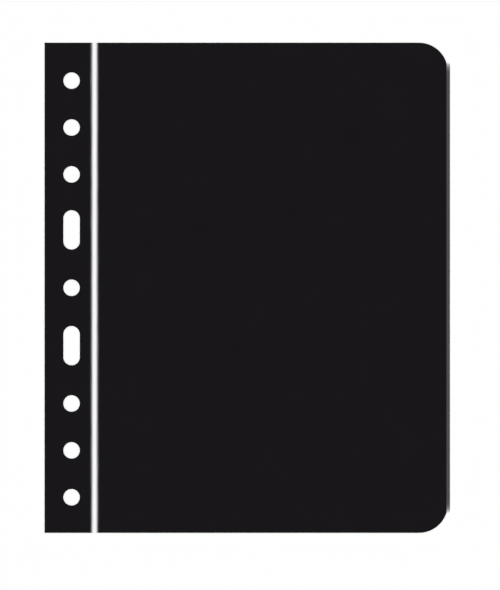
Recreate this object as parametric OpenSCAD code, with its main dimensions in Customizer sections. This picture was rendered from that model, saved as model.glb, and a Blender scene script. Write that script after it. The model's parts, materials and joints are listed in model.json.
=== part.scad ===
// Hinged binder divider. A black laminated panel turns on a bare strip of
// film beside a punched binding strip. It lies flat with its front face up.
// The origin is the middle of the rear face. X runs from the binding edge to
// the free edge, Y runs up the page and Z points out of the front face.

/* [Sheet] */
// Width of the die-cut sheet, without the edge binding
sheet_w = 209; // [150:0.5:300]
// Height of the sheet along the binding edge
sheet_h = 254; // [200:1:330]
// Radius of the two corners at the free edge
corner_r = 15; // [8:0.5:30]

/* [Lamination] */
// Thickness of each black outer skin
skin_t = 0.2; // [0.15:0.01:0.6]
// Thickness of the tough film between the skins
film_t = 0.2; // [0.1:0.01:0.4]

/* [Binding strip] */
// Width of the punched strip, from the binding edge to the hinge
strip_w = 24.4; // [20:0.1:40]
// Distance from the binding edge to the line of the holes
hole_inset = 14; // [10:0.1:17]
// Diameter of a round hole, and width of a slot
hole_d = 8.5; // [5:0.1:10.2]
// Length of a slot from end to end
slot_l = 20.3; // [12:0.1:26]
// Distance from the middle hole to the middle of a slot
slot_offset = 30; // [24:0.5:36]
// Spacing of the rings that the middle and outermost holes are set out for
ring_pitch = 107.95; // [88:0.05:130]
// Distance that the outer groups of holes sit below that spacing
group_drop = 0.6; // [0:0.1:2]
// Step between the round holes of an outer group
hole_step = 24.3; // [14:0.1:29.2]
// Number of round holes in an outer group
group_holes = 3; // [1:1:3]
// Least material between a hole and the top or bottom of the sheet
hole_land = 3; // [1:0.5:8]

/* [Hinge] */
// Width of bare film between the strip and the panel
hinge_w = 3; // [2:0.1:6]
// Width of the pressed slope on each skin beside the bare film
press_w = 1.2; // [0.4:0.1:3]
// Thickness of a skin at the foot of its slope
press_t = 0.08; // [0.04:0.01:0.14]
// Running gap at each bend line of the film
bend_gap = 0.05; // [0.02:0.01:0.2]

/* [Edge binding] */
// Width of the binding along the free edge
binding_w = 1.8; // [1:0.1:4]
// Lap of the binding over the edge of the sheet
binding_lap = 0.7; // [0.3:0.1:0.9]
// Radius of the outer corner at each end of the binding
binding_end_r = 1.2; // [0.4:0.1:1.6]
// Thickness of the binding over each face of the film at its pressed ends
binding_end_wall = 0.05; // [0.04:0.01:0.15]
// Clearance round the film in the groove of the binding
groove_gap = 0.05; // [0.02:0.01:0.1]

/* [Hidden] */
$fn = 96;

skin_colour = [0.098, 0.09, 0.102];
film_colour = [0.96, 0.96, 0.95];
binding_colour = [0.3, 0.3, 0.31];

// Stations across the page
page_w = sheet_w + binding_w - binding_lap;
x_edge = -page_w / 2;
x_holes = x_edge + hole_inset;
x_strip = x_edge + strip_w;
x_panel = x_strip + hinge_w;
x_sheet = x_edge + sheet_w;
x_binding = x_sheet - binding_lap;
x_out = x_binding + binding_w;

// Levels through the page
z_film = skin_t;
z_front = skin_t + film_t;
page_t = 2 * skin_t + film_t;
z_bend = page_t / 2;

// Bend lines of the bare film, just inside the skins on each side
bend_r = film_t / 2;
bend_inset = bend_r + bend_gap;
x_bend_strip = x_strip + bend_inset;
x_bend_panel = x_panel - bend_inset;

// Round holes: the middle one, and a group that steps in from each outermost one
outer_holes = [
    for (side = [-1, 1], i = [0 : group_holes - 1])
        side * (ring_pitch - i * hole_step) - group_drop
];
hole_limit = sheet_h / 2 - hole_d / 2 - hole_land;
hole_stations = [for (y = concat([0], outer_holes)) if (abs(y) <= hole_limit) y];
slot_stations = [-slot_offset, slot_offset];

// The binding is full along the straight run of the free edge, and thins down
// to its ends, which are where the corner arcs cross its inner edge
binding_run = sheet_h - 2 * corner_r;
binding_tip = sqrt(2 * corner_r * binding_lap - pow(binding_lap, 2));
binding_h = binding_run + 2 * binding_tip;
binding_end_t = film_t + 2 * binding_end_wall;

// Flat shape of a slot along Y, also the section of the bare film
module stadium(length, width) {
    run = length - width;
    square([width, run], center = true);
    for (end = [-1, 1])
        translate([0, end * run / 2])
            circle(d = width);
}

// Sheet outline from left to right, with both right corners rounded
module rounded_sheet(left, right, height, radius) {
    translate([left, -height / 2])
        square([right - radius - left, height]);
    translate([right - radius, radius - height / 2])
        square([radius, height - 2 * radius]);
    for (end = [-1, 1])
        translate([right - radius, end * (height / 2 - radius)])
            circle(r = radius);
}

module ring_holes() {
    translate([x_holes, 0]) {
        for (y = hole_stations)
            translate([0, y])
                circle(d = hole_d);
        for (y = slot_stations)
            translate([0, y])
                stadium(slot_l, hole_d);
    }
}

module binding_outline() {
    intersection() {
        rounded_sheet(x_edge, x_out, binding_h, binding_end_r);
        translate([x_binding, -binding_h / 2])
            square([binding_w, binding_h]);
    }
}

// The binding from the side, drawn in Y and Z and run across the page
module binding_side() {
    tip = binding_h / 2;
    run = binding_run / 2;
    thin = binding_end_t / 2;
    translate([x_binding, 0, 0])
        rotate([90, 0, 90])
            linear_extrude(height = binding_w)
                polygon([
                    [-tip, z_bend - thin], [-run, 0],
                    [run, 0], [tip, z_bend - thin],
                    [tip, z_bend + thin], [run, page_t],
                    [-run, page_t], [-tip, z_bend + thin]
                ]);
}

// A section drawn in X and Z, run along the page
module along_page(length) {
    rotate([90, 0, 0])
        linear_extrude(height = length, center = true)
            children();
}

// Section of a skin on the film, sloping down to its hinge edge
module skin_section(far, hinge) {
    inward = sign(far - hinge);
    polygon([
        [far, 0],
        [hinge, 0],
        [hinge, press_t],
        [hinge + inward * press_w, skin_t],
        [far, skin_t]
    ]);
}

module strip_skin() {
    difference() {
        along_page(sheet_h)
            skin_section(x_edge, x_strip);
        translate([0, 0, -skin_t])
            linear_extrude(height = 3 * skin_t)
                ring_holes();
    }
}

module panel_skin() {
    intersection() {
        along_page(sheet_h)
            skin_section(x_sheet, x_panel);
        linear_extrude(height = skin_t)
            difference() {
                rounded_sheet(x_panel, x_sheet, sheet_h, corner_r);
                binding_outline();
            }
    }
}

module on_front() {
    translate([0, 0, z_front])
        children();
}

module on_rear() {
    translate([0, 0, z_film])
        mirror([0, 0, 1])
            children();
}

module strip_front_skin() {
    color(skin_colour)
        on_front()
            strip_skin();
}

module strip_rear_skin() {
    color(skin_colour)
        on_rear()
            strip_skin();
}

module panel_front_skin() {
    color(skin_colour)
        on_front()
            panel_skin();
}

module panel_rear_skin() {
    color(skin_colour)
        on_rear()
            panel_skin();
}

// The film runs through the strip and carries the same holes
module strip_core_film() {
    color(film_colour)
        translate([0, 0, z_film])
            linear_extrude(height = film_t)
                difference() {
                    translate([x_edge, -sheet_h / 2])
                        square([strip_w, sheet_h]);
                    ring_holes();
                }
}

// Bare film between the skins, rounded about its two bend lines
module hinge_film() {
    color(film_colour)
        along_page(sheet_h)
            translate([(x_bend_strip + x_bend_panel) / 2, z_bend])
                rotate(90)
                    stadium(x_bend_panel - x_bend_strip + film_t, film_t);
}

// The film runs through the panel and into the groove of the binding
module panel_core_film() {
    color(film_colour)
        translate([0, 0, z_film])
            linear_extrude(height = film_t)
                rounded_sheet(x_panel, x_sheet, sheet_h, corner_r);
}

// A grooved edging, level with both skins, with a round nose and thinned ends
module edge_binding() {
    nose_r = page_t / 2;
    color(binding_colour)
        difference() {
            intersection() {
                along_page(binding_h) {
                    translate([x_binding, 0])
                        square([binding_w - nose_r, page_t]);
                    translate([x_out - nose_r, nose_r])
                        circle(r = nose_r);
                }
                linear_extrude(height = page_t)
                    binding_outline();
                binding_side();
            }
            translate([0, 0, z_film])
                linear_extrude(height = film_t)
                    rounded_sheet(x_panel, x_sheet + groove_gap, sheet_h, corner_r);
        }
}

strip_front_skin();
strip_core_film();
strip_rear_skin();
hinge_film();
panel_front_skin();
panel_core_film();
panel_rear_skin();
edge_binding();
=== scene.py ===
"""Looks of a hinged binder divider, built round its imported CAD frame.

The page lies on its rear face. X runs from the binding edge to the free
edge, Y runs up the page and Z comes out of the front face, all in metres.
"""

import json
import math

import bmesh
import bpy
from bpy.props import (
    FloatProperty,
    FloatVectorProperty,
    IntProperty,
    PointerProperty,
)
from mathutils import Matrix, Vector


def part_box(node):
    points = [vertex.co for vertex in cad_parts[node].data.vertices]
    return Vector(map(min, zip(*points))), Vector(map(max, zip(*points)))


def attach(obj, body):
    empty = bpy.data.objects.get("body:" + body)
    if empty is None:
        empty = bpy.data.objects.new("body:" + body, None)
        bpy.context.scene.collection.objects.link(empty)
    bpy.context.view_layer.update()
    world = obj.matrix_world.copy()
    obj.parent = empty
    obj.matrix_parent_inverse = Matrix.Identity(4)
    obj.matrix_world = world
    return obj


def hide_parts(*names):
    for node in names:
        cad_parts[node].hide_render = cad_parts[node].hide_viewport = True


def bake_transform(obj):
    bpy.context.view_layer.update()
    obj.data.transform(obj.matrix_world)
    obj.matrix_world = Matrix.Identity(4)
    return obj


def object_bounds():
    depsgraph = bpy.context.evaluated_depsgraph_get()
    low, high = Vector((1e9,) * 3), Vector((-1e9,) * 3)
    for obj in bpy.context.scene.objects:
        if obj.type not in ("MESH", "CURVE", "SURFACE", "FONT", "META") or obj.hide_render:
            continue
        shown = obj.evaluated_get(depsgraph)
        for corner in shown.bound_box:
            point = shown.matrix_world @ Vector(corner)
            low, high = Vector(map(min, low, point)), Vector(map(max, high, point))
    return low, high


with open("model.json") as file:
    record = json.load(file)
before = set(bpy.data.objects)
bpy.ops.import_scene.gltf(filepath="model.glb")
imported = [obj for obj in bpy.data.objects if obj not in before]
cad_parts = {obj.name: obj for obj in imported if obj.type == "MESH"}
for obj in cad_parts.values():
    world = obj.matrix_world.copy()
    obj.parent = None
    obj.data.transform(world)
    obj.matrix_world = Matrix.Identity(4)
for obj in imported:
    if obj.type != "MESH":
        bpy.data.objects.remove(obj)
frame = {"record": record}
CAD_BOX = [list(corner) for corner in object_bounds()]

bl_info = {
    "name": "Hinged Binder Divider",
    "version": (1, 0, 0),
    "blender": (4, 5, 0),
    "location": "View3D > Sidebar > Divider",
    "description": "Builds the layers, hinge, edging and stage of a divider page",
    "category": "Object",
}

MM = 0.001
# Points this close together are one point
MERGE = 3e-7
# Places this close together count as the same level
LEVEL = 1e-6


# The frame

def mounts_of(kind):
    """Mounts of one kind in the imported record."""
    return [m for m in frame["record"]["mounts"] if m["kind"] == kind]


STRIP_LOW, STRIP_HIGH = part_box("strip_front_skin")
PANEL_LOW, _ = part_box("panel_front_skin")
CORE_LOW, CORE_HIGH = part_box("panel_core_film")
EDGING_LOW, EDGING_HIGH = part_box("edge_binding")
RING_HOLES = mounts_of("bore")
RING_SLOTS = mounts_of("slide")
PAGE_HEIGHT = STRIP_HIGH.y - STRIP_LOW.y
HINGE_MIDDLE = (STRIP_HIGH.x + PANEL_LOW.x) / 2
FRONT_FACE = STRIP_HIGH.z


# Sizes and finishes

class DividerLayers(bpy.types.PropertyGroup):
    """Sizes of the punched and rounded layers"""

    hole_radius: FloatProperty(
        name="Hole Radius", description="Radius of the ring holes",
        default=RING_HOLES[0]["dims"]["r_mm"] * MM, unit="LENGTH")
    slot_length: FloatProperty(
        name="Slot Length", description="Whole length of an upright slot",
        default=RING_SLOTS[0]["dims"]["slot_length_mm"] * MM, unit="LENGTH")
    corner_radius: FloatProperty(
        name="Corner Radius", description="Radius of the two free corners",
        default=15 * MM, unit="LENGTH")
    press_width: FloatProperty(
        name="Pressed Margin",
        description="Width over which a skin thins down beside the hinge",
        default=1.2 * MM, unit="LENGTH")
    press_edge: FloatProperty(
        name="Pressed Edge",
        description="Thickness that is left of a skin at the hinge",
        default=0.08 * MM, unit="LENGTH")
    rim_rounding: FloatProperty(
        name="Rim Rounding",
        description="How far the punch draws the skin down round a hole",
        default=0.1 * MM, unit="LENGTH")
    edge_rounding: FloatProperty(
        name="Edge Rounding", description="Rounding of the die-cut outline",
        default=0.05 * MM, unit="LENGTH")
    rounding_segments: IntProperty(
        name="Rounding Segments", description="Faces across a rounded edge",
        default=3, min=1)
    arc_segments: IntProperty(
        name="Arc Segments", description="Segments in a quarter turn",
        default=24, min=4)


class DividerHinge(bpy.types.PropertyGroup):
    """Sizes of the bare film that bends"""

    bend_inside: FloatProperty(
        name="Bend Inside",
        description="Length of film that bends on the hinge side of a fold",
        default=0.2 * MM, unit="LENGTH")
    crease_depth: FloatProperty(
        name="Crease Depth", description="Depth of the fine folding creases",
        default=0.012 * MM, unit="LENGTH")
    crease_pitch: FloatProperty(
        name="Crease Pitch", description="Distance between two creases",
        default=0.3 * MM, unit="LENGTH")
    columns: IntProperty(
        name="Columns", description="Faces across one half of the film",
        default=60, min=4)
    rows: IntProperty(
        name="Rows", description="Faces along the film", default=24, min=1)


class DividerEdging(bpy.types.PropertyGroup):
    """Sizes of the edging on the free edge"""

    end_radius: FloatProperty(
        name="End Radius", description="Radius of the outer corner at each end",
        default=1.2 * MM, unit="LENGTH")
    end_wall: FloatProperty(
        name="End Wall",
        description="Thickness over each face of the film at the pressed ends",
        default=0.05 * MM, unit="LENGTH")
    groove_gap: FloatProperty(
        name="Groove Gap", description="Clearance past the film's edge",
        default=0.05 * MM, unit="LENGTH")
    lip_rounding: FloatProperty(
        name="Lip Rounding",
        description="Rounding of a lip, as a share of its thickness",
        default=0.3, subtype="FACTOR")
    lip_segments: IntProperty(
        name="Lip Segments", description="Faces round the edge of a lip",
        default=3, min=1)
    nose_segments: IntProperty(
        name="Nose Segments", description="Faces round the outer nose",
        default=16, min=4)
    end_rows: IntProperty(
        name="End Rows", description="Faces along one pressed end",
        default=28, min=3)


class DividerFinishes(bpy.types.PropertyGroup):
    """Colours and wear of the materials"""

    skin_colour: FloatVectorProperty(
        name="Skin", description="Black plastic of the skins",
        default=(0.0041, 0.003, 0.0047), subtype="COLOR", size=3)
    # Also the colour that the skins pale to beside the fold, partly as painted shading of
    # the rounded fold, and that the edging pales to at its ends
    film_colour: FloatVectorProperty(
        name="Film", description="Milky film and whitened plastic",
        default=(0.965, 0.96, 0.97), subtype="COLOR", size=3)
    edging_colour: FloatVectorProperty(
        name="Edging", description="Dark grey edging",
        default=(0.0548, 0.0531, 0.0563), subtype="COLOR", size=3)
    floor_colour: FloatVectorProperty(
        name="Floor", description="Pale floor",
        default=(0.97, 0.97, 0.97), subtype="COLOR", size=3)
    cut_paleness: FloatProperty(
        name="Cut Paleness",
        description="How many times paler the skin is where it is cut",
        default=7.0)
    skin_shine: FloatProperty(
        name="Skin Shine",
        description="Specular level of the matte skins, where smooth plastic has 0.5",
        default=0.1)
    # Reach of the paleness beside the fold, which is partly the whitening of folded
    # plastic and partly painted shading of the rounded fold
    whitening_and_shading_reach: FloatProperty(
        name="Whitening Reach",
        description="How far folding has whitened the plastic from the middle "
        "of the hinge", default=1.37 * MM, unit="LENGTH")
    # The edging's grey pales towards the film's colour at each end, over these distances
    end_whitening_start: FloatProperty(
        name="End Whitening Start",
        description="How far past the edging's end it would be fully white",
        default=1.07 * MM, unit="LENGTH")
    end_whitening_reach: FloatProperty(
        name="End Whitening Reach",
        description="How far pressing has whitened the ends of the edging",
        default=2.18 * MM, unit="LENGTH")


class DividerStage(bpy.types.PropertyGroup):
    """Camera, floor and light"""

    frame_height: FloatProperty(
        name="Frame Height", description="Height that the camera takes in",
        default=305.7 * MM, unit="LENGTH")
    centre_x: FloatProperty(
        name="Frame Centre X", description="Page X at the frame's centre",
        default=1.41 * MM, unit="LENGTH")
    centre_y: FloatProperty(
        name="Frame Centre Y", description="Page Y at the frame's centre",
        default=-3.74 * MM, unit="LENGTH")
    lens: FloatProperty(
        name="Lens", description="Focal length", default=160.0, unit="CAMERA")
    lamp_strength: FloatProperty(
        name="Lamp Strength", description="Strength of each soft lamp",
        default=1.325)
    lamp_height: FloatProperty(
        name="Lamp Height", description="Angle of the lamps above the floor",
        default=math.radians(46), subtype="ANGLE")
    lamp_softness: FloatProperty(
        name="Lamp Softness", description="Angle that each lamp covers",
        default=math.radians(28), subtype="ANGLE")
    ceiling: FloatProperty(
        name="Ceiling", description="Brightness overhead, where the walls are 1",
        default=0.1)
    wall_top: FloatProperty(
        name="Wall Top",
        description="Angle above the floor at which the walls have faded out",
        default=math.radians(6), subtype="ANGLE")
    floor_clearness: FloatProperty(
        name="Floor Clearness",
        description="How far the camera sees through the floor to a page "
        "that is folded below it", default=0.7, subtype="FACTOR")


SETTINGS = {
    "divider_layers": DividerLayers,
    "divider_hinge": DividerHinge,
    "divider_edging": DividerEdging,
    "divider_finishes": DividerFinishes,
    "divider_stage": DividerStage,
}


# Node building

# Kinds of socket
FLOAT = "NodeSocketFloat"
INTEGER = "NodeSocketInt"
VECTOR = "NodeSocketVector"
GEOMETRY = "NodeSocketGeometry"
MATERIAL = "NodeSocketMaterial"


def feed(tree, socket, value):
    """Link a socket to another one, or give it a plain value."""
    if isinstance(value, bpy.types.NodeSocket):
        tree.links.new(value, socket)
    else:
        socket.default_value = value


def add_node(tree, kind, inputs=None, **settings):
    """New node with its settings made and its inputs fed."""
    node = tree.nodes.new(kind)
    for name, value in settings.items():
        setattr(node, name, value)
    for key, value in (inputs or {}).items():
        feed(tree, node.inputs[key], value)
    return node


def calculate(tree, operation, a, b=0.0, c=0.0):
    """Result of a Math node."""
    return add_node(tree, "ShaderNodeMath", {0: a, 1: b, 2: c},
                    operation=operation).outputs[0]


def remap(tree, value, low, high):
    """A 0 to 1 value turned into low to high."""
    return add_node(tree, "ShaderNodeMapRange",
                    {"Value": value, "To Min": low, "To Max": high}).outputs[0]


# The sockets of a Mix node share their names, so these two give them by place

def blend_values(tree, factor, a, b):
    """Result of mixing two numbers."""
    return add_node(tree, "ShaderNodeMix", {0: factor, 2: a, 3: b}).outputs[0]


def blend_colours(tree, factor, a, b):
    """Result of mixing two colours."""
    return add_node(tree, "ShaderNodeMix", {0: factor, 6: a, 7: b},
                    data_type="RGBA").outputs[2]


def make_vector(tree, x=0.0, y=0.0, z=0.0):
    """A vector from its three parts."""
    return add_node(tree, "ShaderNodeCombineXYZ", {0: x, 1: y, 2: z}).outputs[0]


def split_vector(tree, vector):
    """The X, Y and Z outputs of a vector."""
    return add_node(tree, "ShaderNodeSeparateXYZ", {0: vector}).outputs


def distance(tree, a, b):
    """How far two values are apart."""
    return calculate(tree, "ABSOLUTE", calculate(tree, "SUBTRACT", a, b))


def new_group(name, kind, inputs, outputs):
    """Node group with named sockets, and its input and output nodes.

    The inputs and the outputs give the kind of each socket by its name.
    """
    tree = bpy.data.node_groups.new(name, kind)
    for side, sockets in (("INPUT", inputs), ("OUTPUT", outputs)):
        for label, socket in sockets.items():
            tree.interface.new_socket(
                name=label, in_out=side, socket_type=socket)
    return tree, tree.nodes.new("NodeGroupInput"), tree.nodes.new("NodeGroupOutput")


# Shared surface effects

# Slant of the rub marks across the page
RUB_ANGLE = math.radians(30)
# How many times longer than wide a rub mark is
RUB_LENGTH = 14.0


def fine_grain_group(name):
    """Rolled sheet grain: fine bumps, slow unevenness and faint rub marks."""
    tree, given, made = new_group(
        name, "ShaderNodeTree",
        {"Vector": VECTOR, "Grain Scale": FLOAT, "Uneven Scale": FLOAT},
        {"Grain": FLOAT, "Uneven": FLOAT, "Rub": FLOAT})
    vector = given.outputs["Vector"]
    grain = add_node(tree, "ShaderNodeTexNoise", {
        "Vector": vector, "Scale": given.outputs["Grain Scale"],
        "Detail": 2.0, "Roughness": 0.55})
    uneven = add_node(tree, "ShaderNodeTexNoise", {
        "Vector": vector, "Scale": given.outputs["Uneven Scale"],
        "Detail": 3.0, "Roughness": 0.5})
    slanted = add_node(tree, "ShaderNodeMapping", {
        "Vector": vector, "Rotation": (0.0, 0.0, RUB_ANGLE),
        "Scale": (RUB_LENGTH, 1.0, 1.0)}, vector_type="TEXTURE")
    rub = add_node(tree, "ShaderNodeTexNoise", {
        "Vector": slanted.outputs[0], "Scale": 1330.0,
        "Detail": 6.0, "Roughness": 0.7})
    feed(tree, made.inputs["Grain"], grain.outputs["Fac"])
    feed(tree, made.inputs["Uneven"], uneven.outputs["Fac"])
    feed(tree, made.inputs["Rub"], rub.outputs["Fac"])
    return tree


def lengthwise_lines(tree, vector, scale, up_share, detail):
    """Noise drawn out into lines, by a smaller scale up the page than across it."""
    drawn_out = add_node(tree, "ShaderNodeMapping", {
        "Vector": vector, "Scale": (1.0, up_share, 1.0)})
    return add_node(tree, "ShaderNodeTexNoise", {
        "Vector": drawn_out.outputs[0], "Scale": scale,
        "Detail": detail}).outputs["Fac"]


def whitening_and_shading_group(name):
    """How pale a colour turns with distance, in fine lengthwise streaks. Beside the fold
    this is partly the whitening of folded plastic and partly painted shading of the
    rounded fold; at the ends of the edging it makes them paler.
    """
    tree, given, made = new_group(
        name, "ShaderNodeTree",
        {"Vector": VECTOR, "Distance": FLOAT, "Reach": FLOAT, "Falloff": FLOAT},
        {"Mask": FLOAT})
    streaks = lengthwise_lines(tree, given.outputs["Vector"], scale=6500.0,
                               up_share=0.012, detail=3.0)
    uneven = calculate(tree, "MULTIPLY", given.outputs["Distance"],
                       remap(tree, streaks, low=0.7, high=1.3))
    share = calculate(tree, "DIVIDE", uneven, given.outputs["Reach"])
    fall = calculate(tree, "POWER", share, given.outputs["Falloff"])
    mask = calculate(tree, "EXPONENT", calculate(tree, "MULTIPLY", fall, -1.0))
    feed(tree, made.inputs["Mask"], mask)
    return tree


SHADER_GROUPS = {
    "Fine grain": fine_grain_group,
    "Whitening and painted shading": whitening_and_shading_group,
}


def place_group(tree, name, values):
    """A shared effect placed in a material with its own values."""
    group = bpy.data.node_groups.get(name) or SHADER_GROUPS[name](name)
    return add_node(tree, "ShaderNodeGroup", values, node_tree=group)


# Materials

# How suddenly the paleness ends beside the fold, where it is partly painted shading of the
# rounded fold, and at the ends of the edging
FOLD_FALLOFF = 3.0
END_FALLOFF = 1.5


def new_material(name):
    """Material with one Principled shader, its tree and its shader node."""
    material = bpy.data.materials.new(name)
    material.use_nodes = True
    tree = material.node_tree
    return material, tree, tree.nodes["Principled BSDF"]


def object_coordinates(tree):
    """Place on a piece, in metres."""
    return add_node(tree, "ShaderNodeTexCoord").outputs["Object"]


def attribute(tree, name):
    """A mesh attribute's node."""
    return add_node(tree, "ShaderNodeAttribute", attribute_name=name)


def opaque(colour):
    """Colour with full alpha."""
    return (*colour, 1.0)


def mottled(tree, mask, colour, spread):
    """Colour that a mask turns darker or paler by up to a share of itself."""
    shade = Vector(colour)
    return blend_colours(tree, mask, opaque(shade * (1.0 - spread)),
                         opaque(shade * (1.0 + spread)))


def raised(tree, height, strength, depth, under=None):
    """Normal of a bump, laid on another one if there is one under it."""
    inputs = {"Height": height, "Strength": strength, "Distance": depth}
    if under is not None:
        inputs["Normal"] = under
    return add_node(tree, "ShaderNodeBump", inputs).outputs[0]


def skin_material(name):
    """Matte black sheet, paler where it is cut, and paler beside the fold, which is partly
    the whitening of folded plastic and partly painted shading of the rounded fold.
    """
    look = bpy.context.scene.divider_finishes
    material, tree, shader = new_material(name)
    place = object_coordinates(tree)
    grain = place_group(tree, "Fine grain", {
        "Vector": place, "Grain Scale": 2200.0, "Uneven Scale": 45.0}).outputs
    from_fold = distance(tree, split_vector(tree, place)["X"], HINGE_MIDDLE)
    # Paleness beside the fold: partly the whitening of folded plastic, partly painted
    # shading of the rounded fold
    white = place_group(tree, "Whitening and painted shading", {
        "Vector": place, "Distance": from_fold,
        "Reach": look.whitening_and_shading_reach, "Falloff": FOLD_FALLOFF})
    black = mottled(tree, grain["Uneven"], look.skin_colour, spread=0.1)
    worn = calculate(tree, "MULTIPLY", attribute(tree, "cut_edge").outputs["Fac"],
                     remap(tree, grain["Rub"], low=0.2, high=0.9))
    cut_colour = Vector(look.skin_colour) * look.cut_paleness
    edged = blend_colours(tree, worn, black, opaque(cut_colour))
    feed(tree, shader.inputs["Base Color"],
         blend_colours(tree, white.outputs["Mask"], edged,
                       opaque(look.film_colour)))
    feed(tree, shader.inputs["Roughness"], calculate(
        tree, "ADD", remap(tree, grain["Uneven"], low=0.43, high=0.53),
        remap(tree, grain["Rub"], low=-0.06, high=0.06)))
    shader.inputs["Specular IOR Level"].default_value = look.skin_shine
    waves = raised(tree, grain["Uneven"], strength=0.4, depth=0.05 * MM)
    feed(tree, shader.inputs["Normal"],
         raised(tree, grain["Grain"], strength=1.0, depth=0.1 * MM, under=waves))
    return material


def film_material(name):
    """Milky film, whitest along the middle of the fold and darkening towards the skins'
    black at its edges, which is partly the whitening of folded plastic and partly painted
    shading of the rounded fold.
    """
    look = bpy.context.scene.divider_finishes
    material, tree, shader = new_material(name)
    place = attribute(tree, "flat_place").outputs["Vector"]
    grain = place_group(tree, "Fine grain", {
        "Vector": place, "Grain Scale": 2600.0, "Uneven Scale": 120.0}).outputs
    # Only the bare film has this attribute: elsewhere it reads 0, which is white
    from_fold = attribute(tree, "from_fold").outputs["Fac"]
    # Whiter towards the middle of the fold: partly the whitening of folded plastic, partly
    # painted shading of the rounded fold
    white = place_group(tree, "Whitening and painted shading", {
        "Vector": place, "Distance": from_fold,
        "Reach": look.whitening_and_shading_reach, "Falloff": FOLD_FALLOFF})
    milky = mottled(tree, grain["Uneven"], look.film_colour, spread=0.0125)
    feed(tree, shader.inputs["Base Color"],
         blend_colours(tree, white.outputs["Mask"], opaque(look.skin_colour),
                       milky))
    feed(tree, shader.inputs["Roughness"],
         remap(tree, grain["Rub"], low=0.32, high=0.46))
    feed(tree, shader.inputs["Normal"],
         raised(tree, grain["Grain"], strength=0.2, depth=0.01 * MM))
    return material


def edging_material(name):
    """Dark grey satin edging, drawn lengthwise and whitened at its ends."""
    look = bpy.context.scene.divider_finishes
    material, tree, shader = new_material(name)
    place = object_coordinates(tree)
    grain = place_group(tree, "Fine grain", {
        "Vector": place, "Grain Scale": 3600.0, "Uneven Scale": 70.0}).outputs
    lines = lengthwise_lines(tree, place, scale=9000.0, up_share=0.004, detail=2.0)
    from_middle = calculate(tree, "ABSOLUTE", split_vector(tree, place)["Y"])
    from_end = calculate(tree, "SUBTRACT",
                         EDGING_HIGH.y + look.end_whitening_start, from_middle)
    white = place_group(tree, "Whitening and painted shading", {
        "Vector": place, "Distance": from_end,
        "Reach": look.end_whitening_reach, "Falloff": END_FALLOFF})
    drawn = mottled(tree, lines, look.edging_colour, spread=0.12)
    feed(tree, shader.inputs["Base Color"],
         blend_colours(tree, white.outputs["Mask"], drawn,
                       opaque(look.film_colour)))
    feed(tree, shader.inputs["Roughness"],
         remap(tree, grain["Uneven"], low=0.36, high=0.48))
    ridges = raised(tree, lines, strength=0.35, depth=0.015 * MM)
    feed(tree, shader.inputs["Normal"],
         raised(tree, grain["Grain"], strength=0.2, depth=0.01 * MM, under=ridges))
    return material


FINISHES = {
    # material slot: name of the finish, what makes it
    "skin": ("Black skin", skin_material),
    "film": ("Milky film", film_material),
    "binding": ("Grey edging", edging_material),
}


def finish_of(slot):
    """Material for one of the record's slots, made when it is first needed."""
    name, maker = FINISHES[slot]
    return bpy.data.materials.get(name) or maker(name)


# Layers of the strip and the panel

# Edges that turn by more than this many radians are cut edges
CUT_TURN = 0.5
# Upright part of a face's normal below which the face is a cut one
CUT_SLOPE = 0.97
# Share of half a slot's width that is the radius of its ends: if it were 1,
# the arcs at each end would meet and leave two points in one place
ROUND_SHARE = 0.9999
# Faces of a layer that meet at a smaller angle are shaded as one
LAYER_SMOOTH = math.radians(4.5)

# Inputs that the trees of the strip's and the panel's layers share
LAYER_INPUTS = {
    "Geometry": GEOMETRY,
    "Outer X": FLOAT,
    "Hinge Edge X": FLOAT,
    "Margin X": FLOAT,
    "Height": FLOAT,
    "Thickness": FLOAT,
    "Pressed Edge": FLOAT,
    "Arc Segments": INTEGER,
    "Edge Weight": FLOAT,
    "Base Z": FLOAT,
    "Turn": FLOAT,
    "Material": MATERIAL,
}


def point_place(tree):
    """The X, Y and Z outputs of each point's place."""
    return split_vector(
        tree, tree.nodes.new("GeometryNodeInputPosition").outputs[0])


def join(tree, *parts):
    """Several geometries as one."""
    joined = tree.nodes.new("GeometryNodeJoinGeometry")
    for part in parts:
        tree.links.new(part, joined.inputs[0])
    return joined.outputs[0]


def merge(tree, geometry):
    """A mesh with its doubled points merged."""
    return add_node(tree, "GeometryNodeMergeByDistance",
                    {"Geometry": geometry, "Distance": MERGE}).outputs[0]


def box_curve(tree, x_one, x_two, height):
    """Rectangle between two X positions, centred up the page."""
    drawn = add_node(tree, "GeometryNodeCurvePrimitiveQuadrilateral",
                     {"Width": distance(tree, x_one, x_two), "Height": height})
    middle = calculate(tree, "MULTIPLY",
                       calculate(tree, "ADD", x_one, x_two), 0.5)
    return add_node(tree, "GeometryNodeTransform", {
        "Geometry": drawn.outputs[0],
        "Translation": make_vector(tree, x=middle)}).outputs[0]


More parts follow.
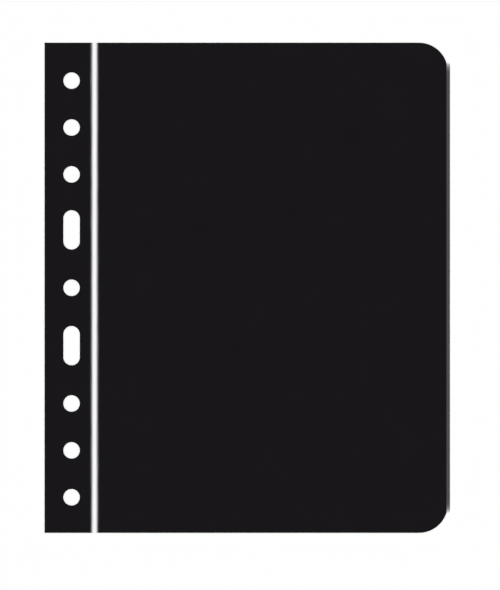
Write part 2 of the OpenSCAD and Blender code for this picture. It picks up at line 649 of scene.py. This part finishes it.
def layer_solid_group(name):
    """A closed layer from a cut outline and the margin beside the hinge."""
    tree, given, made = new_group(
        name, "GeometryNodeTree",
        {"Outline": GEOMETRY, "Margin": GEOMETRY, "Thickness": FLOAT,
         "Hinge Edge X": FLOAT, "Pressed Edge": FLOAT},
        {"Geometry": GEOMETRY})
    thick = given.outputs["Thickness"]
    filled = [add_node(tree, "GeometryNodeFillCurve",
                       {"Curve": given.outputs[label]}, mode="NGONS").outputs[0]
              for label in ("Outline", "Margin")]
    flat = merge(tree, join(tree, *filled))
    upper = add_node(tree, "GeometryNodeExtrudeMesh", {
        "Mesh": flat, "Offset": (0.0, 0.0, 1.0), "Offset Scale": thick,
        "Individual": False}, mode="FACES")
    lower = add_node(tree, "GeometryNodeFlipFaces", {"Mesh": flat})
    closed = merge(tree, join(tree, upper.outputs["Mesh"], lower.outputs[0]))
    place = point_place(tree)
    at_hinge = calculate(tree, "COMPARE", place["X"],
                         given.outputs["Hinge Edge X"], LEVEL)
    on_top = calculate(tree, "COMPARE", place["Z"], thick, LEVEL)
    drop = calculate(tree, "SUBTRACT", given.outputs["Pressed Edge"], thick)
    pressed = add_node(tree, "GeometryNodeSetPosition", {
        "Geometry": closed,
        "Selection": calculate(tree, "MULTIPLY", at_hinge, on_top),
        "Offset": make_vector(tree, z=drop)})
    tree.links.new(pressed.outputs[0], made.inputs[0])
    return tree


def finish_layer(tree, given, made, outline, weight):
    """Thicken an outline, weigh its outer edges, turn it and place it."""
    values = given.outputs
    margin = box_curve(tree, values["Margin X"], values["Hinge Edge X"],
                       values["Height"])
    name = "Layer solid"
    group = bpy.data.node_groups.get(name) or layer_solid_group(name)
    solid = add_node(tree, "GeometryNodeGroup", {
        "Outline": outline, "Margin": margin,
        "Thickness": values["Thickness"],
        "Hinge Edge X": values["Hinge Edge X"],
        "Pressed Edge": values["Pressed Edge"]}, node_tree=group)
    on_top = calculate(tree, "COMPARE", point_place(tree)["Z"],
                       values["Thickness"], LEVEL)
    angle = tree.nodes.new("GeometryNodeInputMeshEdgeAngle")
    sharp = calculate(tree, "GREATER_THAN", angle.outputs["Unsigned Angle"],
                      CUT_TURN)
    weighed = add_node(tree, "GeometryNodeStoreNamedAttribute", {
        "Geometry": solid.outputs[0], "Name": "bevel_weight_edge",
        "Value": calculate(tree, "MULTIPLY", weight,
                           calculate(tree, "MULTIPLY", on_top, sharp))},
        data_type="FLOAT", domain="EDGE")
    placed = add_node(tree, "GeometryNodeTransform", {
        "Geometry": weighed.outputs[0],
        "Translation": make_vector(tree, z=values["Base Z"]),
        "Rotation": make_vector(tree, x=values["Turn"])})
    real = add_node(tree, "GeometryNodeRealizeInstances",
                    {"Geometry": placed.outputs[0]})
    coated = add_node(tree, "GeometryNodeSetMaterial", {
        "Geometry": real.outputs[0], "Material": values["Material"]})
    tree.links.new(coated.outputs[0], made.inputs[0])


def punched_layer_tree():
    """Strip layer: a rectangle punched at the points it is given."""
    tree, given, made = new_group(
        "Punched layer", "GeometryNodeTree",
        {**LAYER_INPUTS, "Hole Radius": FLOAT, "Slot Length": FLOAT,
         "Rim Weight": FLOAT},
        {"Geometry": GEOMETRY})
    values = given.outputs
    radius, segments = values["Hole Radius"], values["Arc Segments"]
    whole_turn = calculate(tree, "MULTIPLY", segments, 4.0)
    circle = add_node(tree, "GeometryNodeCurvePrimitiveCircle",
                      {"Resolution": whole_turn, "Radius": radius})
    width = calculate(tree, "MULTIPLY", radius, 2.0)
    upright = add_node(tree, "GeometryNodeCurvePrimitiveQuadrilateral",
                       {"Width": width, "Height": values["Slot Length"]})
    slot = add_node(tree, "GeometryNodeFilletCurve", {
        "Curve": upright.outputs[0], "Count": segments,
        "Radius": calculate(tree, "MULTIPLY", radius, ROUND_SHARE)}, mode="POLY")
    is_slot = add_node(tree, "GeometryNodeInputNamedAttribute",
                       {"Name": "slot"}, data_type="BOOLEAN").outputs[0]
    is_round = add_node(tree, "FunctionNodeBooleanMath", {0: is_slot},
                        operation="NOT").outputs[0]
    cuts = [add_node(tree, "GeometryNodeInstanceOnPoints", {
        "Points": values["Geometry"], "Selection": chosen,
        "Instance": shape.outputs[0]}).outputs[0]
        for chosen, shape in ((is_round, circle), (is_slot, slot))]
    blank = box_curve(tree, values["Outer X"], values["Margin X"],
                      values["Height"])
    outline = add_node(tree, "GeometryNodeRealizeInstances",
                       {"Geometry": join(tree, blank, *cuts)}).outputs[0]
    # What lies more than a hole's radius inside the outline is a rim
    place = point_place(tree)
    past_side = calculate(tree, "GREATER_THAN",
                          distance(tree, place["X"], values["Outer X"]), radius)
    half_height = calculate(tree, "MULTIPLY", values["Height"], 0.5)
    below_top = calculate(tree, "LESS_THAN",
                          calculate(tree, "ABSOLUTE", place["Y"]),
                          calculate(tree, "SUBTRACT", half_height, radius))
    weight = blend_values(tree, calculate(tree, "MULTIPLY", past_side, below_top),
                          values["Edge Weight"], values["Rim Weight"])
    finish_layer(tree, given, made, outline, weight)
    return tree


def rounded_layer_tree():
    """Panel layer: a rectangle with its free corners rounded, then trimmed."""
    tree, given, made = new_group(
        "Rounded layer", "GeometryNodeTree",
        {**LAYER_INPUTS, "Corner Radius": FLOAT, "Trim X": FLOAT},
        {"Geometry": GEOMETRY})
    values = given.outputs
    blank = box_curve(tree, values["Margin X"], values["Outer X"],
                      values["Height"])
    place = point_place(tree)
    free_side = calculate(tree, "GREATER_THAN", place["X"], 0.0)
    rounded = add_node(tree, "GeometryNodeFilletCurve", {
        "Curve": blank, "Count": values["Arc Segments"],
        "Radius": calculate(tree, "MULTIPLY", free_side,
                            values["Corner Radius"])}, mode="POLY")
    trim = calculate(tree, "MINIMUM", place["X"], values["Trim X"])
    trimmed = add_node(tree, "GeometryNodeSetPosition", {
        "Geometry": rounded.outputs[0],
        "Position": make_vector(tree, x=trim, y=place["Y"], z=place["Z"])})
    finish_layer(tree, given, made, trimmed.outputs[0], values["Edge Weight"])
    return tree


def set_inputs(modifier, values):
    """Give a Geometry Nodes modifier its values by socket identifier.

    A value that its tree has no input for is left out.
    """
    for socket in modifier.node_group.interface.items_tree:
        if socket.in_out == "INPUT" and socket.name in values:
            modifier[socket.identifier] = values[socket.name]


def plain_mesh(source):
    """Evaluated mesh of an object, which is then removed."""
    bpy.context.view_layer.update()
    seen = source.evaluated_get(bpy.context.evaluated_depsgraph_get())
    mesh = bpy.data.meshes.new_from_object(seen)
    bpy.data.objects.remove(source)
    return mesh


def check_closed(mesh, name):
    """Stop if a mesh is open or has a face the wrong way round."""
    shape = bmesh.new()
    shape.from_mesh(mesh)
    closed = all(edge.is_manifold and edge.is_contiguous for edge in shape.edges)
    outward = shape.calc_volume(signed=True) > 0
    shape.free()
    if not (closed and outward):
        raise RuntimeError(f"{name} isn't a closed mesh with its faces outwards")


def add_piece(mesh, name):
    """New object at the origin with its place in its mesh."""
    mesh.name = name
    piece = bpy.data.objects.new(name, mesh)
    bpy.context.scene.collection.objects.link(piece)
    return piece


def mark_cut_faces(mesh):
    """Flag the faces of the die-cut edges, for their paler finish."""
    cut = mesh.attributes.new("cut_edge", "FLOAT", "FACE")
    cut.data.foreach_set("value", [float(abs(face.normal.z) < CUT_SLOPE)
                                   for face in mesh.polygons])


def mark_flat_place(mesh):
    """Keep where each point lies when flat, so the film's finish can't slide."""
    flat = mesh.attributes.new("flat_place", "FLOAT_VECTOR", "POINT")
    flat.data.foreach_set("vector", [n for v in mesh.vertices for n in v.co])


def build_layer(name, tree, values, points, rounding):
    """One layer, made by its tree and rounded at its weighed edges."""
    seed = bpy.data.meshes.new(f"{name}_points")
    seed.from_pydata([(x, y, 0.0) for x, y, _ in points], [], [])
    slot = seed.attributes.new("slot", "BOOLEAN", "POINT")
    slot.data.foreach_set("value", [is_slot for _, _, is_slot in points])
    source = bpy.data.objects.new(f"{name}_source", seed)
    bpy.context.scene.collection.objects.link(source)
    maker = source.modifiers.new("Layer", "NODES")
    maker.node_group = tree
    set_inputs(maker, values)
    if rounding:
        bevel = source.modifiers.new("Rounding", "BEVEL")
        bevel.limit_method = "WEIGHT"
        bevel.width = rounding
        bevel.segments = bpy.context.scene.divider_layers.rounding_segments
        # The same width all round a rim, however the flat faces are divided
        bevel.use_clamp_overlap = False
        bevel.loop_slide = False
    mesh = plain_mesh(source)
    bpy.data.meshes.remove(seed)
    weights = mesh.attributes.get("bevel_weight_edge")
    if weights:
        mesh.attributes.remove(weights)
    mesh.shade_smooth()
    mesh.set_sharp_from_angle(angle=LAYER_SMOOTH)
    check_closed(mesh, name)
    return add_piece(mesh, name)


LAYERS = (
    # layer, how its node's name ends, turned over, material slot
    ("front_layer", "front_skin", False, "skin"),
    ("core_layer", "core_film", False, "film"),
    ("rear_layer", "rear_skin", True, "skin"),
)
MARKS = {
    # material slot: what marks a layer's mesh for its finish
    "skin": mark_cut_faces,
    "film": mark_flat_place,
}


def layer_values(node, turned, slot, hinge_edge, outer):
    """Inputs of a layer's tree, with its place from its node's box."""
    layers = bpy.context.scene.divider_layers
    low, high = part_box(node)
    thickness = high.z - low.z
    margin = math.copysign(layers.press_width, outer - hinge_edge)
    return {
        "Outer X": outer,
        "Hinge Edge X": hinge_edge,
        "Margin X": hinge_edge + margin,
        "Trim X": high.x,
        "Height": PAGE_HEIGHT,
        "Thickness": thickness,
        "Pressed Edge": layers.press_edge if slot == "skin" else thickness,
        "Corner Radius": layers.corner_radius,
        "Hole Radius": layers.hole_radius,
        "Slot Length": layers.slot_length,
        "Arc Segments": layers.arc_segments,
        # Both weights are shares of the rim's rounding
        "Edge Weight": layers.edge_rounding / layers.rim_rounding,
        "Rim Weight": 1.0,
        "Base Z": high.z if turned else low.z,
        "Turn": math.pi if turned else 0.0,
        "Material": finish_of(slot),
    }


def build_layers(body, part, tree, points, hinge_edge, outer):
    """Front skin, film and rear skin of the strip or the panel."""
    rim = bpy.context.scene.divider_layers.rim_rounding
    for layer, ending, turned, slot in LAYERS:
        node = f"{part}_{ending}"
        values = layer_values(node, turned, slot, hinge_edge, outer)
        # Turning a layer over swaps its top and bottom
        up = -1.0 if turned else 1.0
        places = [(x, up * y, is_slot) for x, y, is_slot in points]
        piece = build_layer(f"{part}_{layer}", tree, values, places,
                            rim if slot == "skin" else 0.0)
        MARKS[slot](piece.data)
        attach(piece, body)
        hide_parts(node)


class DIVIDER_OT_strip(bpy.types.Operator):
    """Build the three punched layers of the binding strip"""

    bl_idname = "divider.strip"
    bl_label = "Binding Strip"

    def execute(self, context):
        points = [(*m["pos_m"][:2], False) for m in RING_HOLES]
        points += [(*m["pos_m"][:2], True) for m in RING_SLOTS]
        build_layers("binding_strip", "strip", punched_layer_tree(), points,
                     hinge_edge=STRIP_HIGH.x, outer=STRIP_LOW.x)
        return {"FINISHED"}


class DIVIDER_OT_panel(bpy.types.Operator):
    """Build the three layers of the panel, with their free corners rounded"""

    bl_idname = "divider.panel"
    bl_label = "Panel"

    def execute(self, context):
        build_layers("panel", "panel", rounded_layer_tree(), [],
                     hinge_edge=PANEL_LOW.x, outer=CORE_HIGH.x)
        return {"FINISHED"}


# Hinge film

# Faces of the film or the edging that meet at a smaller angle are shaded as one
LOFT_SMOOTH = math.radians(38)


def loft(rings, cap, name):
    """Closed, smooth mesh through rings of points, with a cap at both ends.

    The cap is a list of faces, each of them places in a ring.
    """
    count = len(rings[0])
    last = (len(rings) - 1) * count
    points = [point for ring in rings for point in ring]
    faces = []
    for row in range(len(rings) - 1):
        for step in range(count):
            ahead = (step + 1) % count
            faces.append((row * count + step, row * count + ahead,
                          (row + 1) * count + ahead, (row + 1) * count + step))
    faces += [tuple(reversed(face)) for face in cap]
    faces += [tuple(last + place for place in face) for face in cap]
    mesh = bpy.data.meshes.new(name)
    mesh.from_pydata(points, [], faces)
    shape = bmesh.new()
    shape.from_mesh(mesh)
    bmesh.ops.recalc_face_normals(shape, faces=shape.faces)
    shape.to_mesh(mesh)
    shape.free()
    check_closed(mesh, name)
    mesh.shade_smooth()
    mesh.set_sharp_from_angle(angle=LOFT_SMOOTH)
    return mesh


def film_section(outer, hinge):
    """Section from the middle of the film outwards, creased on both faces."""
    step = (outer - HINGE_MIDDLE) / hinge.columns
    across = [HINGE_MIDDLE + step * n for n in range(hinge.columns + 1)]

    def dip(x):
        """Depth of the creases at one place across the film."""
        turn = 2.0 * math.pi * (x - HINGE_MIDDLE) / hinge.crease_pitch
        return hinge.crease_depth * (1.0 - math.cos(turn)) / 2

    lower = [(x, CORE_LOW.z + dip(x)) for x in across]
    upper = [(x, CORE_HIGH.z - dip(x)) for x in reversed(across)]
    return lower + upper


def build_film_half(name, outer):
    """One half of the bare film, from the middle of the hinge out to one side."""
    hinge = bpy.context.scene.divider_hinge
    section = film_section(outer, hinge)
    stations = [STRIP_LOW.y + PAGE_HEIGHT * row / hinge.rows
                for row in range(hinge.rows + 1)]
    rings = [[(x, y, z) for x, z in section] for y in stations]
    end = len(section) - 1
    cap = [(n, n + 1, end - n - 1, end - n) for n in range(hinge.columns)]
    mesh = loft(rings, cap, name)
    from_fold = mesh.attributes.new("from_fold", "FLOAT", "POINT")
    from_fold.data.foreach_set(
        "value", [abs(v.co.x - HINGE_MIDDLE) for v in mesh.vertices])
    mark_flat_place(mesh)
    mesh.materials.append(finish_of("film"))
    piece = add_piece(mesh, name)
    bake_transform(piece)
    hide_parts("hinge_film")


class DIVIDER_OT_hinge(bpy.types.Operator):
    """Build the bare film in two halves, split at the middle of the hinge"""

    bl_idname = "divider.hinge"
    bl_label = "Hinge Film"

    def execute(self, context):
        build_film_half("hinge_film_strip_side",
                        STRIP_HIGH.x)
        build_film_half("hinge_film_panel_side",
                        PANEL_LOW.x)
        return {"FINISHED"}


# Edging

def arc(centre, radii, first, last, steps):
    """Points on a round or oval arc, in degrees."""
    turns = [math.radians(first + (last - first) * n / steps)
             for n in range(steps + 1)]
    return [(centre[0] + radii[0] * math.cos(t),
             centre[1] + radii[1] * math.sin(t)) for t in turns]


def edging_section(edging, half, outer, groove):
    """Section at one station: round nose, two lips and a groove for the film."""
    inner = EDGING_LOW.x
    middle = (EDGING_LOW.z + EDGING_HIGH.z) / 2
    nose = EDGING_HIGH.z - middle
    lip = edging.lip_rounding * (half - (CORE_HIGH.z - middle))
    section = arc((outer - nose, middle), (nose, half), -90, 90,
                  edging.nose_segments)
    section += arc((inner + lip, middle + half - lip), (lip, lip), 90, 180,
                   edging.lip_segments)
    section += [(inner, CORE_HIGH.z), (groove, CORE_HIGH.z),
                (groove, CORE_LOW.z), (inner, CORE_LOW.z)]
    section += arc((inner + lip, middle - half + lip), (lip, lip), 180, 270,
                   edging.lip_segments)
    return section


def edging_run(corner):
    """Half of the edging's straight run, and the length of each end past it."""
    straight = PAGE_HEIGHT / 2 - corner
    return straight, EDGING_HIGH.y - straight


def edging_ring(y, edging, corner):
    """Ring of the edging at one place along the free edge."""
    straight, tip = edging_run(corner)
    past = max(abs(y) - straight, 0.0)
    full = (EDGING_HIGH.z - EDGING_LOW.z) / 2
    thin = (CORE_HIGH.z - CORE_LOW.z) / 2 + edging.end_wall
    half = full + (thin - full) * past / tip
    radius = edging.end_radius
    turned = max(past - (tip - radius), 0.0)
    outer = EDGING_HIGH.x - radius + math.sqrt(
        max(radius ** 2 - turned ** 2, 0.0))
    film_edge = CORE_HIGH.x - corner + math.sqrt(corner ** 2 - past ** 2)
    section = edging_section(edging, half, outer, film_edge + edging.groove_gap)
    return [(x, y, z) for x, z in section]


class DIVIDER_OT_edging(bpy.types.Operator):
    """Sweep the grooved edging along the free edge, with pressed ends"""

    bl_idname = "divider.edging"
    bl_label = "Edging"

    def execute(self, context):
        edging = context.scene.divider_edging
        corner = context.scene.divider_layers.corner_radius
        _, tip = edging_run(corner)
        quarter = math.pi / 2 / edging.end_rows
        stations = [EDGING_HIGH.y - tip * (1.0 - math.cos(quarter * n))
                    for n in range(edging.end_rows + 1)]
        stations += [-y for y in reversed(stations)]
        name = "free_edge_edging"
        rings = [edging_ring(y, edging, corner) for y in stations]
        mesh = loft(rings, [tuple(range(len(rings[0])))], name)
        mesh.materials.append(finish_of("binding"))
        piece = add_piece(mesh, name)
        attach(piece, "panel")
        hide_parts("edge_binding")
        return {"FINISHED"}


# Stage

# Where the lamps stand round the page, in degrees from X
LAMP_AZIMUTHS = (90.0, 210.0, 330.0)
# Half the side of the floor, which is so wide that its edge is lost in the white
FLOOR_HALF = 30.0
# Gap under the page, so that the floor and the rear face aren't in one plane
FLOOR_DROP = 0.05 * MM
FLOOR_ROUGHNESS = 0.9
# Distances between which the camera sees
NEAREST_SEEN = 0.01
FARTHEST_SEEN = 100.0


def any_ray(tree, *kinds):
    """1 for a ray of any of these kinds, and 0 for the rest."""
    rays = add_node(tree, "ShaderNodeLightPath").outputs
    found = rays[f"Is {kinds[0]} Ray"]
    for kind in kinds[1:]:
        found = calculate(tree, "MAXIMUM", found, rays[f"Is {kind} Ray"])
    return found


def floor_material(stage, look):
    """Pale floor that gives a glimpse of what is folded below it."""
    material, tree, shader = new_material("Pale floor")
    shader.inputs["Base Color"].default_value = opaque(look.floor_colour)
    shader.inputs["Roughness"].default_value = FLOOR_ROUGHNESS
    shader.inputs["Specular IOR Level"].default_value = 0.0
    through = calculate(tree, "MULTIPLY", stage.floor_clearness,
                        any_ray(tree, "Camera", "Glossy", "Transmission"))
    clear = add_node(tree, "ShaderNodeBsdfTransparent")
    mixed = add_node(tree, "ShaderNodeMixShader", {
        0: through, 1: shader.outputs[0], 2: clear.outputs[0]})
    feed(tree, tree.nodes["Material Output"].inputs["Surface"], mixed.outputs[0])
    return material


def build_world(stage):
    """White all round to look at, with only a dim ceiling lighting the page.

    A glossy ray sees white walls that fade to that ceiling, so that the page
    shines at low angles and its skins stay black from above.
    """
    world = bpy.data.worlds.new("Studio")
    bpy.context.scene.world = world
    world.use_nodes = True
    tree = world.node_tree
    way = add_node(tree, "ShaderNodeTexCoord").outputs["Generated"]
    walls = add_node(tree, "ShaderNodeMapRange", {
        "Value": split_vector(tree, way)["Z"],
        "From Min": 0.0, "From Max": math.sin(stage.wall_top),
        "To Min": 1.0, "To Max": stage.ceiling}).outputs[0]
    mirrored = calculate(tree, "MULTIPLY", any_ray(tree, "Glossy"), walls)
    shown = calculate(tree, "MAXIMUM", mirrored,
                      any_ray(tree, "Camera", "Transmission"))
    feed(tree, tree.nodes["Background"].inputs["Color"],
         calculate(tree, "MAXIMUM", shown, stage.ceiling))


def add_lamp(azimuth, stage):
    """Soft lamp from one side, at the stage's lamp height."""
    lamp = bpy.data.lights.new(f"soft_lamp_{azimuth:.0f}", "SUN")
    lamp.energy = stage.lamp_strength
    lamp.angle = stage.lamp_softness
    holder = bpy.data.objects.new(lamp.name, lamp)
    bpy.context.scene.collection.objects.link(holder)
    around, above = math.radians(azimuth), stage.lamp_height
    towards = Vector((math.cos(above) * math.cos(around),
                      math.cos(above) * math.sin(around), math.sin(above)))
    holder.location = towards
    holder.rotation_mode = "QUATERNION"
    holder.rotation_quaternion = (-towards).to_track_quat("-Z", "Y")


def add_floor(stage, look):
    """Flat floor just under the page."""
    level = CAD_BOX[0][2] - FLOOR_DROP
    corners = [(x * FLOOR_HALF, y * FLOOR_HALF, level)
               for x, y in ((-1, -1), (1, -1), (1, 1), (-1, 1))]
    mesh = bpy.data.meshes.new("floor")
    mesh.from_pydata(corners, [], [(0, 1, 2, 3)])
    mesh.materials.append(floor_material(stage, look))
    add_piece(mesh, "floor")


def add_camera(stage):
    """Camera straight above the page, framed as the photograph is."""
    lens = bpy.data.cameras.new("camera")
    lens.lens = stage.lens
    lens.clip_start = NEAREST_SEEN
    lens.clip_end = FARTHEST_SEEN
    # The photograph is taller than wide, so the sensor's width covers its height
    height = stage.frame_height * stage.lens / lens.sensor_width
    camera = bpy.data.objects.new("camera", lens)
    camera.location = (stage.centre_x, stage.centre_y, FRONT_FACE + height)
    bpy.context.scene.collection.objects.link(camera)
    bpy.context.scene.camera = camera


class DIVIDER_OT_stage(bpy.types.Operator):
    """Build the floor, walls, lamps and camera"""

    bl_idname = "divider.stage"
    bl_label = "Stage"

    def execute(self, context):
        scene = context.scene
        stage = scene.divider_stage
        scene.view_settings.view_transform = "Standard"
        build_world(stage)
        add_floor(stage, scene.divider_finishes)
        for azimuth in LAMP_AZIMUTHS:
            add_lamp(azimuth, stage)
        add_camera(stage)
        return {"FINISHED"}


# Sidebar and registering

OPERATORS = (DIVIDER_OT_stage, DIVIDER_OT_strip, DIVIDER_OT_panel,
             DIVIDER_OT_hinge, DIVIDER_OT_edging)


class VIEW3D_PT_divider(bpy.types.Panel):
    """Lists the pieces of the divider and their settings"""

    bl_label = "Binder Divider"
    bl_space_type = "VIEW_3D"
    bl_region_type = "UI"
    bl_category = "Divider"

    def draw(self, context):
        for operator in OPERATORS:
            self.layout.operator(operator.bl_idname)
        for name, group in SETTINGS.items():
            box = self.layout.box()
            for label in group.__annotations__:
                box.prop(getattr(context.scene, name), label)


CLASSES = (*SETTINGS.values(), *OPERATORS, VIEW3D_PT_divider)


def register():
    """Add the classes, and their settings to the scene."""
    for item in CLASSES:
        bpy.utils.register_class(item)
    for name, group in SETTINGS.items():
        setattr(bpy.types.Scene, name, PointerProperty(type=group))


def unregister():
    """Take the settings and the classes away again."""
    for name in SETTINGS:
        delattr(bpy.types.Scene, name)
    for item in reversed(CLASSES):
        bpy.utils.unregister_class(item)


def main():
    """Build the whole divider."""
    register()
    bpy.ops.divider.stage()
    bpy.ops.divider.strip()
    bpy.ops.divider.panel()
    bpy.ops.divider.hinge()
    bpy.ops.divider.edging()


if __name__ == "__main__":
    main()
